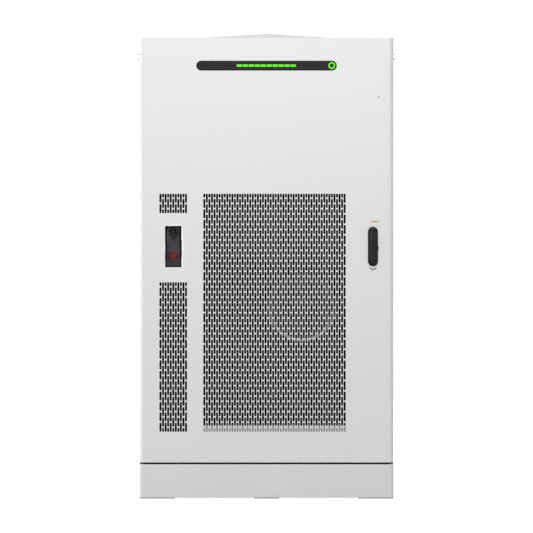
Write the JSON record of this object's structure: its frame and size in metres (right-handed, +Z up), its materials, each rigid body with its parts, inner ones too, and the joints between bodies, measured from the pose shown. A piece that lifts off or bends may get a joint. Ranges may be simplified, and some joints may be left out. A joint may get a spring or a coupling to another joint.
{
  "type": "battery storage cabinet",
  "caption": "Floor-standing battery storage cabinet with a perforated full-height door, a status strip, a swing handle and a covered stop switch.",
  "frame": {"origin": "on the floor, under the middle of the overall box", "axes": "+X to the right seen from the front, +Y to the back, +Z up; the door faces -Y"},
  "size_m": [1.126, 1.1204, 2.055],
  "materials": {
    "door_white": "textured powder coat",
    "body_white": "textured powder coat",
    "plinth_grey": "powder coat",
    "frame_zinc": "galvanised",
    "bolt_steel": "zinc plated",
    "foot_black": "black paint",
    "seal_foam": "matt foam",
    "display_black": "gloss",
    "display_green": "lit",
    "switch_black": "fine grain",
    "pocket_grey": "fine grain",
    "stop_red": "satin",
    "cover_clear": "clear polycarbonate",
    "lock_black": "satin black",
    "lock_steel": "zinc plated",
    "gland_black": "moulded",
    "climate_dark": "powder coat",
    "coil_metal": "pressed fins",
    "fan_black": "moulded",
    "rack_steel": "galvanised",
    "module_case": "powder-coated case",
    "link_orange": "insulation",
    "equipment_grey": "coated casting",
    "panel_grey": "moulded",
    "canister_red": "gloss paint",
    "detector_white": "moulded",
    "earth_copper": "bare copper"
  },
  "bodies": {
    "cabinet": {"foot_pads": "foot_black", "base_frame": "plinth_grey", "plinth_cover": "plinth_grey", "floor_plate": "frame_zinc", "gland_plate": "frame_zinc", "cable_glands": "gland_black", "front_frame": "body_white", "rear_frame": "body_white", "side_rails": "frame_zinc", "left_side_panel": "body_white", "right_side_panel": "body_white", "rear_panel": "body_white", "roof_cover": "body_white", "lifting_bolts": "bolt_steel", "door_seal": "seal_foam", "hinge_arms": "lock_steel", "rod_keepers": "lock_steel", "equipment_rack": "rack_steel", "module_links": "link_orange", "high_voltage_box": "module_case", "power_inverter": "equipment_grey", "breaker_panel": "panel_grey", "control_unit": "equipment_grey", "fire_canister": "canister_red", "smoke_detector": "detector_white", "earth_bar": "earth_copper", "battery_module_1": "module_case", "battery_module_2": "module_case", "battery_module_3": "module_case", "battery_module_4": "module_case", "battery_module_5": "module_case", "battery_module_6": "module_case"},
    "door": {"door_skin": "door_white", "door_frame": "door_white", "display_bezel": "display_black", "display_lights": "display_green", "switch_pocket": "pocket_grey", "switch_bodies": "switch_black", "window_hinge": "body_white", "lock_plate": "lock_black", "lock_case": "lock_steel", "rod_guides": "lock_steel", "climate_case": "climate_dark", "climate_coil": "coil_metal"},
    "power_button": {"power_button": "display_black"},
    "stop_stem": {"stop_stem": "switch_black"},
    "stop_button": {"stop_button": "stop_red"},
    "selector": {"selector_knob": "switch_black"},
    "window_cover": {"window_cover": "cover_clear"},
    "spindle": {"lock_spindle": "lock_steel"},
    "lever": {"lock_lever": "lock_black"},
    "key": {"key_cylinder": "lock_black"},
    "release": {"release_button": "lock_black"},
    "upper_rod": {"upper_rod": "lock_steel"},
    "lower_rod": {"lower_rod": "lock_steel"},
    "climate_fan": {"climate_fan": "fan_black"},
    "isolator": {"isolator_knob": "stop_red"},
    "breaker": {"breaker_toggle": "switch_black"},
    "inverter_fan_1": {"inverter_fan_1": "fan_black"},
    "inverter_fan_2": {"inverter_fan_2": "fan_black"}
  },
  "joints": [
    {"name": "door_swing", "type": "hinge", "parent": "cabinet", "child": "door", "pos_m": [-0.538, -0.5128, 0], "axis": [0, 0, -1], "range_deg": [0, 110]},
    {"name": "power_press", "type": "slide", "parent": "door", "child": "power_button", "axis": [0, 1, 0], "range_m": [0, 0.0015], "stiffness_N_per_m": 600},
    {"name": "stop_press", "type": "slide", "parent": "door", "child": "stop_stem", "axis": [0, 1, 0], "range_m": [0, 0.004], "stiffness_N_per_m": 1500},
    {"name": "stop_twist", "type": "hinge", "parent": "stop_stem", "child": "stop_button", "pos_m": [-0.4035, -0.5028, 1.0506], "axis": [0, 1, 0], "range_deg": [0, 45], "stiffness_Nm_per_rad": 0.05},
    {"name": "selector_turn", "type": "hinge", "parent": "door", "child": "selector", "pos_m": [-0.4035, -0.5028, 1.15], "axis": [0, 1, 0], "range_deg": [0, 90]},
    {"name": "cover_swing", "type": "hinge", "parent": "door", "child": "window_cover", "pos_m": [-0.4446, -0.5431, 1.0905], "axis": [0, 0, -1], "range_deg": [0, 110]},
    {"name": "handle_turn", "type": "hinge", "parent": "door", "child": "spindle", "pos_m": [0.4604, -0.5398, 1.1441], "axis": [0, 1, 0], "range_deg": [0, 90]},
    {"name": "handle_lift", "type": "hinge", "parent": "spindle", "child": "lever", "pos_m": [0.4604, -0.5542, 1.1441], "axis": [-1, 0, 0], "range_deg": [0, 40]},
    {"name": "key_turn", "type": "hinge", "parent": "lever", "child": "key", "pos_m": [0.4604, -0.5602, 1.094], "axis": [0, 1, 0], "range_deg": [0, 90]},
    {"name": "release_press", "type": "slide", "parent": "lever", "child": "release", "axis": [0, 1, 0], "range_m": [0, 0.002], "stiffness_N_per_m": 500},
    {"name": "upper_rod_slide", "type": "slide", "parent": "door", "child": "upper_rod", "axis": [0, 0, -1], "range_m": [0, 0.0201]},
    {"name": "lower_rod_slide", "type": "slide", "parent": "door", "child": "lower_rod", "axis": [0, 0, 1], "range_m": [0, 0.0201]},
    {"name": "climate_fan_spin", "type": "hinge", "parent": "door", "child": "climate_fan", "pos_m": [0.151, -0.5018, 0.825], "axis": [0, 1, 0], "continuous": true},
    {"name": "isolator_turn", "type": "hinge", "parent": "cabinet", "child": "isolator", "pos_m": [-0.243, -0.2558, 1.813], "axis": [0, 1, 0], "range_deg": [0, 90]},
    {"name": "breaker_throw", "type": "hinge", "parent": "cabinet", "child": "breaker", "pos_m": [0.243, -0.2028, 0.8], "axis": [1, 0, 0], "range_deg": [0, 56]},
    {"name": "inverter_fan_1_spin", "type": "hinge", "parent": "cabinet", "child": "inverter_fan_1", "pos_m": [0.151, -0.2098, 1.49], "axis": [0, 1, 0], "continuous": true},
    {"name": "inverter_fan_2_spin", "type": "hinge", "parent": "cabinet", "child": "inverter_fan_2", "pos_m": [0.335, -0.2098, 1.49], "axis": [0, 1, 0], "continuous": true}
  ],
  "couplings": [
    {"joint": "upper_rod_slide", "follows": "handle_turn", "m_per_rad": 0.01275},
    {"joint": "lower_rod_slide", "follows": "handle_turn", "m_per_rad": 0.01275}
  ]
}
